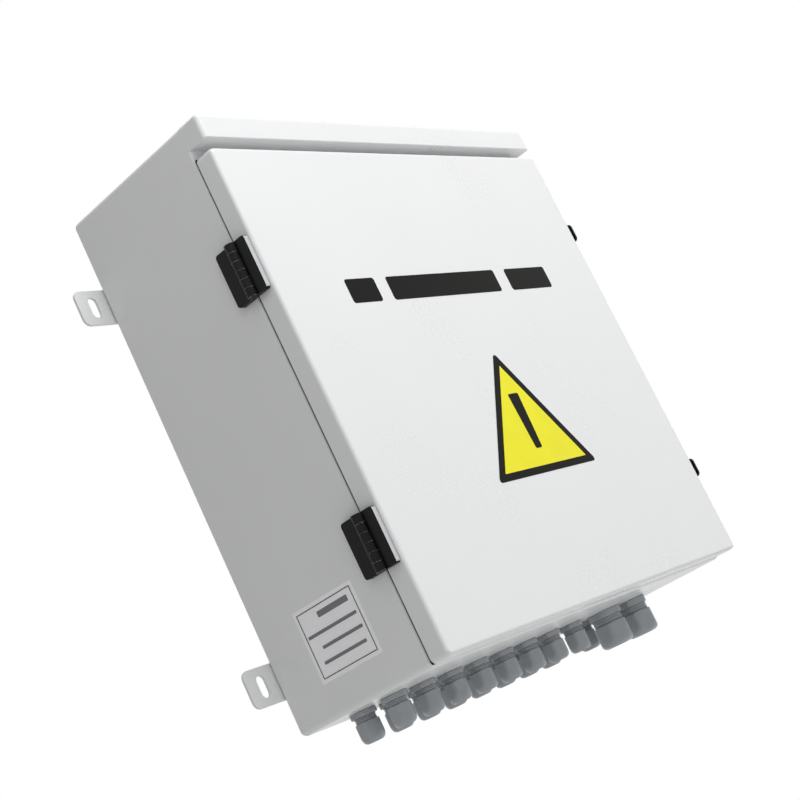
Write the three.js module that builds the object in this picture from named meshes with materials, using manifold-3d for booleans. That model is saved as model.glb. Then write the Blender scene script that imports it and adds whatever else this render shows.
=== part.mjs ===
// DC combiner box: a wall-hung sheet-steel enclosure that gathers eight photovoltaic strings.
// Units are millimetres, +Z is up and +Y points to the wall. The origin is the centre of the
// plane in which the four mounting ears meet the wall.

import * as THREE from 'three';
import { mergeVertices } from 'three/addons/utils/BufferGeometryUtils.js';
import Module from 'manifold-3d';

const wasm = await Module();
wasm.setup();

// ---------------------------------------------------------------- driving dimensions

const GAP = 0.3; // left between two faces that touch on the real box

// enclosure
const BODY_W = 500;
const BODY_H = 500;
const BODY_D = 159; // back panel to front rim
const SHEET = 1.5; // steel sheet of body, hood and door
const CORNER_R = 5.5; // edges that run front to back
const BEND_R = 3.5; // folds at the front rim and the back panel
const RIM_W = 22; // inward fold of the front rim
const GUTTER_H = 10; // raised edge round the opening, which the gasket closes on

// rain hood
const HOOD_H = 24;
const HOOD_D = 21.5;
const HOOD_GAP = 9.5; // clear height between hood and door

// door
const DOOR_OVER = 0.5; // door edge past the body's side
const DOOR_W = BODY_W + 2 * DOOR_OVER;
const DOOR_D = 21;
const DOOR_RISE = 1.5; // door edge above the body's bottom edge
const DOOR_SEAM = 1.2; // slit between door edge and front rim
const GASKET_W = 12;

// mounting ears
const EAR_T = 2.5;
const EAR_H = 34;
const EAR_OUT = 34; // reach past the body's side
const EAR_UNDER = 30; // length welded behind the back panel
const EAR_CORNER = 7;
const EAR_SPREAD = 182; // height of an ear above or below the door's middle
const SLOT_W = 10;
const SLOT_H = 20;
const SLOT_OUT = 16; // slot's middle past the body's side

// hinges
const HINGE_H = 50;
const HINGE_SPREAD = 124.5; // height of a hinge above or below the door's middle
const KNUCKLES = 6;
const BARREL_R = 5.5;
const BARREL_OUT = BARREL_R + GAP; // barrel's middle past the door's side
const LEAF_CORNER = 3;
const PIN_R = 2;
const PIN_PLAY = 0.4;
const BODY_LEAF_W = 20;
const DOOR_LEAF_W = 17;

// draw latches
const LATCH_SPREAD = 140.5; // height of a latch above or below the door's middle
const LATCH_BASE_T = 2;
const LATCH_BASE_L = 50;
const LATCH_BASE_W = 24;
const LATCH_BASE_SET = 5; // base's front end behind the rim
const CHEEK_T = 1.4;
const LEVER_PIVOT = { out: 10, back: 12 }; // from the body's side and its rim
const LEVER_PIN_R = 1.5;
const LEVER_HUB_W = 10.8;
const LEVER_L = 51; // pivot to tip
const CRANK = 10; // pivot of the bail behind the lever's pivot
const CRANK_DROP = 1.3; // how far the bail's pivot lies past dead centre
const BAIL_WIRE_R = 1.25;
const BAIL_W = 17.8; // between the middles of the two arms
const BAIL_REACH = 17.5; // crossbar in front of the rim
const BAIL_PLAY = 0.4; // between the crossbar and the keeper's lip
const KEEPER_LIP_T = 2;
const KEEPER_LIP_OUT = 14;

// cable glands: dimensions of the small and the large size
const SMALL_GLAND = {
  thread: 8, bore: 5, flange: 12.4, flangeH: 4.5, neck: 9.6, neckH: 4.7,
  cap: 11.2, tip: 8, capH: 18, shoulder: 10, nut: 12, nutH: 5,
};
const LARGE_GLAND = {
  thread: 12.5, bore: 8.5, flange: 18, flangeH: 6.5, neck: 15, neckH: 7,
  cap: 18, tip: 14, capH: 22.5, shoulder: 17.5, nut: 17.5, nutH: 6,
};
const GLAND_SIDES = 12;
const STRINGS = 8;
const STRING_PITCH = 40.2;
const FIRST_STRING_X = -206;
const OUTPUT_X = [139, 190];
const EARTH_X = 151; // in the back row
const FRONT_ROW = 85; // gland row behind the front rim
const ROW_PITCH = 39;

// mounting plate and rails
const PLATE_W = 440;
const PLATE_H = 400;
const PLATE_T = 2;
const STUD_R = 4;
const STUD_L = 12;
const STUD_INSET = 15;
const RAIL_W = 35;
const RAIL_H = 7.5;
const RAIL_T = 1;
const RAIL_BASE_W = 27;
const LOWER_RAIL = { x: 0, z: -60, length: 400 };
const UPPER_RAIL = { x: 100, z: 90, length: 200 };

// fuse holders
const FUSE_POLE_W = 18;
const FUSE_BANK_X = -105;
const FUSE_H = 80;
const FUSE_D = 58;
const CARRIER_W = 14;
const CARRIER_R = 9; // half its depth, and the radius of its pivoted foot
const CARRIER_L = 50; // pivot to top
const CARRIER_PLAY = 0.5;
const CARRIER_LIFT = 1.5; // room above the carrier, which rises a little as it tilts
const CARRIER_FOOT = 14; // pivot above the holder's lower face
const GRIP_OUT = 4;

// breaker
const BREAKER = { x: -100, z: 92, w: 105, h: 140, d: 62, noseH: 84, nose: 12 };
const TOGGLE_R = 9;
const TOGGLE_W = 26;
const TOGGLE_REST = THREE.MathUtils.degToRad(18); // leans down at off
const TOGGLE_REACH = 32;
const WINDOW_H = 30; // opening in which the toggle swings
const LUG = { w: 22, h: 16, d: 22 }; // terminal pockets of the breaker

// surge protector, terminals and bars
const SURGE = { x: 62, w: 54, h: 88, d: 52, noseH: 46, nose: 14 };
const TERMINAL_PITCH = 16;
const TERMINALS = { x: 90, h: 60, d: 44 };
const BAR_T = 3;
const BAR_W = 20;
const EARTH_BAR = { z: -150, w: 150, h: 12, t: 9, foot: 12, footInset: 18 };

// ---------------------------------------------------------------- places that follow

const BACK_Y = -EAR_T - GAP; // outer face of the back panel
const RIM_Y = BACK_Y - BODY_D;
const DOOR_Y = RIM_Y - DOOR_D; // outer face of the door
const SIDE_X = BODY_W / 2;
const FLOOR_Z = -BODY_H / 2;
const DOOR_H = BODY_H - HOOD_H - HOOD_GAP - DOOR_RISE;
const DOOR_Z = FLOOR_Z + DOOR_RISE + DOOR_H / 2;
const OPENING_W = BODY_W - 2 * RIM_W;
const OPENING_H = DOOR_H - 2 * RIM_W;
const PIN_X = -(DOOR_W / 2 + BARREL_OUT);
const PIN_Y = RIM_Y - DOOR_SEAM / 2;
const PLATE_Y = BACK_Y - SHEET - STUD_L - GAP - PLATE_T; // front face of the mounting plate
const PLATE_Z = DOOR_Z;
const RAIL_Y = PLATE_Y - GAP - RAIL_H; // front face of a rail
const DEVICE_Y = RAIL_Y - GAP; // back face of what hangs on a rail

// ---------------------------------------------------------------- finishes

const finish = (color, roughness, metalness) => () =>
  new THREE.MeshStandardMaterial({ color, roughness, metalness });
const paintedSteel = finish(0xdcdedc, 0.42, 0.0);
const blackZinc = finish(0x1b1c1e, 0.38, 0.2);
const brightSteel = finish(0xb9bcbe, 0.3, 1.0);
const greyNylon = finish(0x808487, 0.5, 0.0);
const foam = finish(0x26272a, 0.9, 0.0);
const greyMoulding = finish(0xc9cbc8, 0.55, 0.0);
const darkMoulding = finish(0x2d3033, 0.5, 0.0);
const redMoulding = finish(0xb3352b, 0.5, 0.0);
const blueMoulding = finish(0x2f5f9c, 0.5, 0.0);
const copper = finish(0xb4693f, 0.35, 1.0);
const brass = finish(0xb79a4e, 0.35, 1.0);

// ---------------------------------------------------------------- solids

// A closed geometry as a solid that can be cut and joined.
function solid(geometry) {
  const bare = geometry.index ? geometry.clone() : geometry;
  bare.deleteAttribute('normal');
  bare.deleteAttribute('uv');
  const merged = mergeVertices(bare, 1e-4);
  return new wasm.Manifold(new wasm.Mesh({
    numProp: 3,
    vertProperties: new Float32Array(merged.attributes.position.array),
    triVerts: new Uint32Array(merged.index.array),
  }));
}

function toGeometry(shape) {
  const mesh = shape.getMesh();
  const geometry = new THREE.BufferGeometry();
  geometry.setAttribute('position', new THREE.BufferAttribute(mesh.vertProperties, 3));
  geometry.setIndex(new THREE.BufferAttribute(mesh.triVerts, 1));
  return geometry;
}

const union = (...shapes) => shapes.reduce((all, one) => all.add(one));
const cut = (shape, ...tools) => tools.reduce((left, tool) => left.subtract(tool), shape);

// A block from its low and high corners.
function block([x0, y0, z0], [x1, y1, z1]) {
  const geometry = new THREE.BoxGeometry(x1 - x0, y1 - y0, z1 - z0);
  return solid(geometry.translate((x0 + x1) / 2, (y0 + y1) / 2, (z0 + z1) / 2));
}

// A round bar along z, from its middle.
function rod(radius, length, sides = 16, [x, y, z] = [0, 0, 0]) {
  const geometry = new THREE.CylinderGeometry(radius, radius, length, sides);
  return solid(geometry.rotateX(Math.PI / 2).translate(x, y, z));
}

// A round bar between two points.
function bar(radius, from, to, sides = 8) {
  const a = new THREE.Vector3(...from);
  const b = new THREE.Vector3(...to);
  const geometry = new THREE.CylinderGeometry(radius, radius, a.distanceTo(b), sides);
  const direction = b.clone().sub(a).normalize();
  geometry.applyQuaternion(new THREE.Quaternion().setFromUnitVectors(new THREE.Vector3(0, 1, 0), direction));
  return solid(geometry.translate(...a.add(b).multiplyScalar(0.5)));
}

// A rectangle with round corners, centred on cx, cy.
function roundRect(w, h, r, cx = 0, cy = 0) {
  const [x0, x1, y0, y1] = [cx - w / 2, cx + w / 2, cy - h / 2, cy + h / 2];
  const shape = new THREE.Shape();
  shape.moveTo(x0 + r, y0);
  shape.lineTo(x1 - r, y0);
  shape.absarc(x1 - r, y0 + r, r, -Math.PI / 2, 0, false);
  shape.lineTo(x1, y1 - r);
  shape.absarc(x1 - r, y1 - r, r, 0, Math.PI / 2, false);
  shape.lineTo(x0 + r, y1);
  shape.absarc(x0 + r, y1 - r, r, Math.PI / 2, Math.PI, false);
  shape.lineTo(x0, y0 + r);
  shape.absarc(x0 + r, y0 + r, r, Math.PI, Math.PI * 1.5, false);
  return shape;
}

function outline(points) {
  return new THREE.Shape(points.map(([a, b]) => new THREE.Vector2(a, b)));
}

// A shape in x and z, pushed along y from y0 to y1, with its end edges rounded by fold.
function frontPrism(shape, y0, y1, fold = 0) {
  const geometry = new THREE.ExtrudeGeometry(shape, {
    depth: y1 - y0 - 2 * fold, curveSegments: 3,
    bevelEnabled: fold > 0, bevelSize: fold, bevelThickness: fold, bevelOffset: -fold, bevelSegments: 2,
  });
  return solid(geometry.translate(0, 0, fold).rotateX(Math.PI / 2).translate(0, y1, 0));
}

// A shape in y and z, pushed along x from x0 to x1.
function sidePrism(shape, x0, x1) {
  const geometry = new THREE.ExtrudeGeometry(shape, { depth: x1 - x0, curveSegments: 5, bevelEnabled: false });
  const axes = [new THREE.Vector3(0, 1, 0), new THREE.Vector3(0, 0, 1), new THREE.Vector3(1, 0, 0)];
  return solid(geometry.applyMatrix4(new THREE.Matrix4().makeBasis(...axes)).translate(x0, 0, 0));
}

// A shape in x and y, pushed along z from z0 to z1.
function uprightPrism(shape, z0, z1) {
  const geometry = new THREE.ExtrudeGeometry(shape, { depth: z1 - z0, curveSegments: 4, bevelEnabled: false });
  return solid(geometry.translate(0, 0, z0));
}

function piece(name, shape, material) {
  const mesh = new THREE.Mesh(toGeometry(shape), material());
  mesh.name = name;
  return mesh;
}

function groupAt(x, y, z, ...meshes) {
  const group = new THREE.Group();
  group.position.set(x, y, z);
  group.add(...meshes);
  return group;
}

// ---------------------------------------------------------------- glands

// Every gland with its name, size and place on the floor of the enclosure.
function glandPlaces() {
  const frontY = RIM_Y + FRONT_ROW;
  const backY = frontY + ROW_PITCH;
  const places = [];
  for (let i = 0; i < STRINGS; i += 1) {
    const x = FIRST_STRING_X + i * STRING_PITCH;
    places.push({ name: `gland_positive_${i + 1}`, size: SMALL_GLAND, x, y: frontY });
    places.push({ name: `gland_negative_${i + 1}`, size: SMALL_GLAND, x, y: backY });
  }
  places.push({ name: 'gland_output_positive', size: LARGE_GLAND, x: OUTPUT_X[0], y: frontY });
  places.push({ name: 'gland_output_negative', size: LARGE_GLAND, x: OUTPUT_X[1], y: frontY });
  places.push({ name: 'gland_earth', size: SMALL_GLAND, x: EARTH_X, y: backY });
  return places;
}

// Flange and cap hang below the floor, the thread passes it and the locknut grips it from inside.
function gland({ name, size, x, y }) {
  const flangeTop = -GAP;
  const flangeFoot = flangeTop - size.flangeH;
  const capTop = flangeFoot - size.neckH;
  const capFoot = capTop - size.capH;
  const nutFoot = SHEET + GAP;
  const nutTop = nutFoot + size.nutH;
  const profile = [
    [size.bore, capFoot], [size.tip, capFoot], [size.cap, capTop - size.shoulder], [size.cap, capTop],
    [size.neck, capTop], [size.neck, flangeFoot], [size.flange, flangeFoot], [size.flange, flangeTop],
    [size.thread, flangeTop], [size.thread, nutFoot], [size.nut, nutFoot], [size.nut, nutTop],
    [size.bore, nutTop], [size.bore, capFoot],
  ].map(([r, z]) => new THREE.Vector2(r, z));
  const geometry = new THREE.LatheGeometry(profile, GLAND_SIDES).rotateX(Math.PI / 2);
  return groupAt(x, y, FLOOR_Z, piece(name, solid(geometry), greyNylon));
}

// ---------------------------------------------------------------- enclosure

function enclosureBody() {
  const outer = frontPrism(roundRect(BODY_W, BODY_H, CORNER_R), RIM_Y, BACK_Y, BEND_R);
  const room = roundRect(BODY_W - 2 * SHEET, BODY_H - 2 * SHEET, CORNER_R - SHEET);
  const inside = frontPrism(room, RIM_Y + SHEET, BACK_Y - SHEET);
  const opening = roundRect(OPENING_W, OPENING_H, CORNER_R, 0, DOOR_Z);
  const gutterEdge = roundRect(OPENING_W + 2 * SHEET, OPENING_H + 2 * SHEET, CORNER_R + SHEET, 0, DOOR_Z);
  const gutter = frontPrism(gutterEdge, RIM_Y - GUTTER_H, RIM_Y + SHEET / 2);
  const doorway = frontPrism(opening, RIM_Y - GUTTER_H - 1, RIM_Y + 2 * SHEET);
  const holes = glandPlaces().map(({ size, x, y }) =>
    rod(size.thread + GAP, 4 * SHEET, GLAND_SIDES, [x, y, FLOOR_Z + SHEET / 2]));
  const studs = [-1, 1].flatMap((sx) => [-1, 1].map((sz) => {
    const [x, z] = [sx * (PLATE_W / 2 - STUD_INSET), PLATE_Z + sz * (PLATE_H / 2 - STUD_INSET)];
    return bar(STUD_R, [x, BACK_Y - SHEET / 2, z], [x, BACK_Y - SHEET - STUD_L, z], 10);
  }));
  return piece('enclosure_body', cut(union(cut(outer, inside), gutter, ...studs), doorway, ...holes), paintedSteel);
}

// A folded channel across the front of the roof, open towards the rim.
function rainHood() {
  const [front, back] = [RIM_Y - HOOD_D, RIM_Y - GAP];
  const [foot, top] = [BODY_H / 2 - HOOD_H, BODY_H / 2];
  const fold = BEND_R * 0.6;
  const shell = sidePrism(outline([
    [back, foot], [back, top], [front + fold, top], [front, top - fold], [front, foot + fold], [front + fold, foot],
  ].reverse()), -SIDE_X, SIDE_X);
  const hollow = block([-SIDE_X + SHEET, front + SHEET, foot + SHEET], [SIDE_X - SHEET, back + 1, top - SHEET]);
  return piece('rain_hood', cut(shell, hollow), paintedSteel);
}

function mountingEar(name, sideways, z) {
  const width = EAR_OUT + EAR_UNDER;
  const middle = sideways * (SIDE_X + EAR_OUT - width / 2);
  const plate = frontPrism(roundRect(width, EAR_H, EAR_CORNER, middle, z), -EAR_T, 0);
  const slot = roundRect(SLOT_W, SLOT_H, SLOT_W / 2 - 0.01, sideways * (SIDE_X + SLOT_OUT), z);
  return piece(name, cut(plate, frontPrism(slot, -EAR_T - 1, 1)), paintedSteel);
}

// ---------------------------------------------------------------- door

// The door hangs in a group whose origin is the hinge line.
function doorAssembly() {
  const door = new THREE.Group();
  door.position.set(PIN_X, PIN_Y, 0);
  const atPin = (mesh) => {
    mesh.position.set(-PIN_X, -PIN_Y, 0);
    return mesh;
  };
  door.add(atPin(doorPan()), atPin(doorGasket()));
  for (const [place, z] of hingePlaces()) door.add(hingeLeaf(`hinge_door_leaf_${place}`, z, false));
  for (const [place, z] of latchPlaces()) {
    const keeper = latchKeeper(`latch_keeper_${place}`);
    keeper.position.set(SIDE_X - PIN_X, RIM_Y - PIN_Y, z);
    door.add(keeper);
  }
  return door;
}

function doorPan() {
  const back = RIM_Y - DOOR_SEAM;
  const skin = frontPrism(roundRect(DOOR_W, DOOR_H, CORNER_R, 0, DOOR_Z), DOOR_Y, back + 2 * BEND_R, BEND_R);
  const behind = block([-DOOR_W, back, -BODY_H], [DOOR_W, back + 3 * BEND_R, BODY_H]);
  const hollow = roundRect(DOOR_W - 2 * SHEET, DOOR_H - 2 * SHEET, CORNER_R - SHEET, 0, DOOR_Z);
  return piece('door', cut(skin, behind, frontPrism(hollow, DOOR_Y + SHEET, back + 1)), paintedSteel);
}

// Foamed sealing strip on the inside of the door, over the raised edge of the opening.
function doorGasket() {
  const [front, back] = [DOOR_Y + SHEET + GAP, RIM_Y - GUTTER_H - GAP];
  const ring = (grow) => roundRect(OPENING_W + SHEET + grow, OPENING_H + SHEET + grow, CORNER_R + grow / 4, 0, DOOR_Z);
  const strip = frontPrism(ring(GASKET_W), front, back);
  return piece('door_gasket', cut(strip, frontPrism(ring(-GASKET_W), front - 1, back + 1)), foam);
}

// ---------------------------------------------------------------- hinges

const upperAndLower = (spread) => [['upper', DOOR_Z + spread], ['lower', DOOR_Z - spread]];
const hingePlaces = () => upperAndLower(HINGE_SPREAD);
const latchPlaces = () => upperAndLower(LATCH_SPREAD);

// One leaf, with its knuckles round the hinge line. The body's leaf has the odd knuckles.
function hingeLeaf(name, z, onBody) {
  const seat = onBody ? BARREL_OUT + (DOOR_W - BODY_W) / 2 : BARREL_OUT;
  const width = onBody ? BODY_LEAF_W : DOOR_LEAF_W;
  const bothSides = sidePrism(roundRect(2 * width, HINGE_H, LEAF_CORNER), GAP, seat - GAP);
  const [near, far] = onBody ? [-width - 1, 0] : [0, width + 1];
  let leaf = cut(bothSides, block([0, near, -HINGE_H], [seat, far, HINGE_H]));
  const step = HINGE_H / KNUCKLES;
  for (let i = 0; i < KNUCKLES; i += 1) {
    const middle = -HINGE_H / 2 + (i + 0.5) * step;
    const own = (i % 2 === 0) === onBody;
    if (own) leaf = leaf.add(rod(BARREL_R, step - GAP, 16, [0, 0, middle]));
    else leaf = leaf.subtract(rod(BARREL_R + PIN_PLAY, step + GAP, 16, [0, 0, middle]));
  }
  const bore = rod(PIN_R + PIN_PLAY, HINGE_H + 2, 12);
  const mesh = piece(name, cut(leaf, bore), blackZinc);
  mesh.position.z = z;
  return mesh;
}

function hingeOnBody(place, z) {
  const pin = piece(`hinge_pin_${place}`, rod(PIN_R, HINGE_H + 1, 12), brightSteel);
  return groupAt(PIN_X, PIN_Y, z, hingeLeaf(`hinge_body_leaf_${place}`, 0, true), pin);
}

// ---------------------------------------------------------------- draw latches

// Each latch is drawn about the point where the body's side meets its rim: x leads away from
// the side and y leads back along it.
function latchBase(name) {
  const half = LATCH_BASE_W / 2;
  const plate = block([GAP, LATCH_BASE_SET, -half], [GAP + LATCH_BASE_T, LATCH_BASE_SET + LATCH_BASE_L, half]);
  const { out, back } = LEVER_PIVOT;
  const cheekIn = LEVER_HUB_W / 2 + PIN_PLAY;
  const cheekOut = cheekIn + CHEEK_T;
  const cheek = (side) => {
    const [z0, z1] = side > 0 ? [cheekIn, cheekOut] : [-cheekOut, -cheekIn];
    return block([GAP + LATCH_BASE_T / 2, back - 4, z0], [out + 3.5, back + 4, z1]);
  };
  const pin = rod(LEVER_PIN_R, 2 * cheekOut, 10, [out, back, 0]);
  return piece(name, union(plate, cheek(1), cheek(-1), pin), blackZinc);
}

function latchLever(name) {
  const { out, back } = LEVER_PIVOT;
  const tip = back + LEVER_L;
  const side = outline([
    [out - 3, back - 2.5], [out + 3.2, back - 2.5], [out + 3.2, back + CRANK + 2], [out + 2.8, tip - 7],
    [out + 7, tip - 1.2], [out + 5.6, tip], [out + 0.6, tip - 5.4], [out + 0.3, back + CRANK + 5],
    [out - 4.3, back + CRANK + 3], [out - 4.7, back + CRANK - 2],
  ]);
  const lever = uprightPrism(side, -LEVER_HUB_W / 2, LEVER_HUB_W / 2);
  const handle = block([out + 0.6, back + CRANK + 6, -BAIL_W / 2 + 2], [out + 2.8, tip - 7, BAIL_W / 2 - 2]);
  const pinBore = rod(LEVER_PIN_R + PIN_PLAY, 2 * LEVER_HUB_W, 10, [out, back, 0]);
  const wireBore = rod(BAIL_WIRE_R * Math.SQRT2 + GAP, 2 * LEVER_HUB_W, 12, [out - CRANK_DROP, back + CRANK, 0]);
  return piece(name, cut(union(lever, handle), pinBore, wireBore), blackZinc);
}

// A closed wire loop, parallel to the body's side, from the lever to the keeper.
function latchBail(name) {
  const rear = LEVER_PIVOT.back + CRANK;
  const middle = (rear - BAIL_REACH) / 2;
  const loop = (grow) => roundRect(rear + BAIL_REACH + grow, BAIL_W + grow, 3 + grow / 2, middle, 0);
  const out = LEVER_PIVOT.out - CRANK_DROP;
  const ring = sidePrism(loop(2 * BAIL_WIRE_R), out - BAIL_WIRE_R, out + BAIL_WIRE_R);
  const hole = sidePrism(loop(-2 * BAIL_WIRE_R), out - 2 * BAIL_WIRE_R, out + 2 * BAIL_WIRE_R);
  return piece(name, cut(ring, hole), blackZinc);
}

function latchKeeper(name) {
  const foot = (DOOR_W - BODY_W) / 2 + GAP;
  const lipFront = -BAIL_REACH + BAIL_WIRE_R + BAIL_PLAY;
  const half = BAIL_W / 2 - BAIL_WIRE_R - 1;
  const plate = block([foot, -DOOR_D + 2, -half], [foot + LATCH_BASE_T, -4, half]);
  const lip = block([foot, lipFront, -half], [KEEPER_LIP_OUT, lipFront + KEEPER_LIP_T, half]);
  return piece(name, union(plate, lip), blackZinc);
}

function latchOnBody(place, z) {
  const parts = [latchBase(`latch_base_${place}`), latchLever(`latch_lever_${place}`), latchBail(`latch_bail_${place}`)];
  return groupAt(SIDE_X, RIM_Y, z, ...parts);
}

// ---------------------------------------------------------------- inside

function mountingPlate() {
  const plate = frontPrism(roundRect(PLATE_W, PLATE_H, 4, 0, PLATE_Z), PLATE_Y, PLATE_Y + PLATE_T);
  return piece('mounting_plate', plate, brightSteel);
}

// Top-hat rail: two flanges and a raised channel whose foot lies on the plate.
function dinRail(name, { x, z, length }) {
  const [foot, front] = [PLATE_Y - GAP, RAIL_Y];
  const [halfFoot, halfWide] = [RAIL_BASE_W / 2, RAIL_W / 2];
  const section = outline([
    [foot, z - halfFoot], [foot, z + halfFoot], [front + RAIL_T, z + halfFoot], [front + RAIL_T, z + halfWide],
    [front, z + halfWide], [front, z + halfFoot - RAIL_T], [foot - RAIL_T, z + halfFoot - RAIL_T],
    [foot - RAIL_T, z - halfFoot + RAIL_T], [front, z - halfFoot + RAIL_T], [front, z - halfWide],
    [front + RAIL_T, z - halfWide], [front + RAIL_T, z - halfFoot],
  ]);
  return piece(name, sidePrism(section, x - length / 2, x + length / 2), brightSteel);
}

const FUSE_FRONT = DEVICE_Y - FUSE_D;
const CARRIER_Y = FUSE_FRONT + CARRIER_R; // hinge line of the carriers
const CARRIER_Z = LOWER_RAIL.z - FUSE_H / 2 + CARRIER_FOOT;
const carrierX = (i) => FUSE_BANK_X + (i - (STRINGS - 1) / 2) * FUSE_POLE_W;

// Side view of the fuse carrier about its hinge line: a round foot, a shaft and a grip at the top.
function carrierOutline() {
  const shape = new THREE.Shape();
  shape.moveTo(-CARRIER_R, 0);
  shape.absarc(0, 0, CARRIER_R, Math.PI, 2 * Math.PI, false);
  shape.lineTo(CARRIER_R, CARRIER_L);
  shape.lineTo(-CARRIER_R - GRIP_OUT, CARRIER_L);
  shape.lineTo(-CARRIER_R - GRIP_OUT, CARRIER_L - 9);
  shape.lineTo(-CARRIER_R, CARRIER_L - 14);
  return shape;
}

function fuseHolderBank() {
  const width = STRINGS * FUSE_POLE_W;
  const [left, right] = [FUSE_BANK_X - width / 2, FUSE_BANK_X + width / 2];
  const [low, high] = [LOWER_RAIL.z - FUSE_H / 2, LOWER_RAIL.z + FUSE_H / 2];
  let bank = block([left, FUSE_FRONT, low], [right, DEVICE_Y, high]);
  const reach = CARRIER_R + CARRIER_PLAY;
  for (let i = 0; i < STRINGS; i += 1) {
    const [x0, x1] = [carrierX(i) - CARRIER_W / 2 - CARRIER_PLAY, carrierX(i) + CARRIER_W / 2 + CARRIER_PLAY];
    const bay = block([x0, FUSE_FRONT - 1, CARRIER_Z], [x1, CARRIER_Y + reach, CARRIER_Z + CARRIER_L + CARRIER_LIFT]);
    const step = block([x0, FUSE_FRONT - 1, CARRIER_Z - reach], [x1, CARRIER_Y, CARRIER_Z + 1]);
    const sweep = bar(reach, [x0, CARRIER_Y, CARRIER_Z], [x1, CARRIER_Y, CARRIER_Z], 20);
    bank = cut(bank, bay, step, sweep);
  }
  return piece('fuse_holder_bank', bank, greyMoulding);
}

function fuseCarrier(i) {
  const shape = sidePrism(carrierOutline(), -CARRIER_W / 2, CARRIER_W / 2);
  return groupAt(carrierX(i), CARRIER_Y, CARRIER_Z, piece(`fuse_carrier_${i + 1}`, shape, greyMoulding));
}

// A device whose front steps forward in the middle of its height.
function steppedHousing({ x, z, w, h, d, noseH, nose }, back) {
  const body = block([x - w / 2, back - d, z - h / 2], [x + w / 2, back, z + h / 2]);
  return body.add(block([x - w / 2, back - d - nose, z - noseH / 2], [x + w / 2, back - d + 1, z + noseH / 2]));
}

const BREAKER_BACK = PLATE_Y - GAP;
const TOGGLE_Y = BREAKER_BACK - BREAKER.d - BREAKER.nose + TOGGLE_R + 2; // hinge line of the toggle

function breakerBody() {
  const { x, z, w } = BREAKER;
  const housing = steppedHousing(BREAKER, BREAKER_BACK);
  const reach = TOGGLE_R + CARRIER_PLAY;
  const half = TOGGLE_W / 2 + CARRIER_PLAY;
  const well = bar(reach, [x - half, TOGGLE_Y, z], [x + half, TOGGLE_Y, z], 20);
  const window = block([x - half, BREAKER_BACK - BREAKER.d - BREAKER.nose - 1, z - WINDOW_H / 2], [x + half, TOGGLE_Y, z + WINDOW_H / 2]);
  const lugs = [-1, 1].flatMap((end) => [-1, 1].map((pole) => {
    const px = x + pole * w / 4;
    const face = z + end * BREAKER.h / 2;
    const [z0, z1] = [Math.min(face, face - end * LUG.h), Math.max(face, face - end * LUG.h)];
    return block([px - LUG.w / 2, BREAKER_BACK - BREAKER.d - 1, z0 - 1], [px + LUG.w / 2, BREAKER_BACK - BREAKER.d + LUG.d, z1 + 1]);
  }));
  return piece('dc_breaker', cut(housing, well, window, ...lugs), darkMoulding);
}

function breakerToggle() {
  const half = TOGGLE_W / 2;
  const hub = bar(TOGGLE_R, [-half, 0, 0], [half, 0, 0], 16);
  const stick = block([-half + 4, -TOGGLE_REACH, -4], [half - 4, 0, 4]);
  const mesh = piece('dc_breaker_toggle', union(hub, stick), greyMoulding);
  mesh.rotation.x = TOGGLE_REST;
  return groupAt(BREAKER.x, TOGGLE_Y, BREAKER.z, mesh);
}

function surgeProtector() {
  return piece('surge_protector', steppedHousing({ ...SURGE, z: UPPER_RAIL.z }, DEVICE_Y), redMoulding);
}

// Feed-through terminals for the negative string cables, with a notch at each screw.
function terminalBlock() {
  const width = STRINGS * TERMINAL_PITCH;
  const { x, h, d } = TERMINALS;
  const z = LOWER_RAIL.z;
  let strip = block([x - width / 2, DEVICE_Y - d, z - h / 2], [x + width / 2, DEVICE_Y, z + h / 2]);
  for (let i = 0; i < STRINGS; i += 1) {
    const px = x + (i - (STRINGS - 1) / 2) * TERMINAL_PITCH;
    for (const end of [-1, 1]) {
      const face = z + end * h / 2;
      const [z0, z1] = [Math.min(face - end * 14, face + end), Math.max(face - end * 14, face + end)];
      strip = strip.subtract(block([px - 5.5, DEVICE_Y - d - 1, z0], [px + 5.5, DEVICE_Y - d + 12, z1]));
    }
  }
  return piece('terminal_block', strip, blueMoulding);
}

// Bar across the tops of the fuse holders, with a riser to the breaker's line terminal.
function positiveBusbar() {
  const half = STRINGS * FUSE_POLE_W / 2;
  const foot = LOWER_RAIL.z + FUSE_H / 2 + GAP;
  const back = DEVICE_Y - 14;
  const comb = block([FUSE_BANK_X - half, back - BAR_W, foot], [FUSE_BANK_X + half, back, foot + BAR_T]);
  const top = BREAKER.z - BREAKER.h / 2 - GAP;
  const riser = block([BREAKER.x - BAR_W / 2, back - BAR_T, foot + BAR_T / 2], [BREAKER.x + BAR_W / 2, back, top]);
  return piece('positive_busbar', union(comb, riser), copper);
}

function negativeBusbar() {
  const half = STRINGS * TERMINAL_PITCH / 2;
  const foot = LOWER_RAIL.z + TERMINALS.h / 2 + GAP;
  const back = DEVICE_Y - 12;
  const low = [TERMINALS.x - half, back - BAR_W, foot];
  return piece('negative_busbar', block(low, [TERMINALS.x + half, back, foot + BAR_T]), copper);
}

// Bar for the earth wires on two feet that stand on the mounting plate.
function earthBar() {
  const { z, w, h, t, foot, footInset } = EARTH_BAR;
  const [front, back] = [PLATE_Y - GAP - foot - t, PLATE_Y - GAP - foot];
  const feet = [-1, 1].map((side) => {
    const x = side * (w / 2 - footInset);
    return block([x - 5, back - 1, z - h / 2], [x + 5, PLATE_Y - GAP, z + h / 2]);
  });
  return piece('earth_bar', union(block([-w / 2, front, z - h / 2], [w / 2, back, z + h / 2]), ...feet), brass);
}

// ---------------------------------------------------------------- assembly

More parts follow.
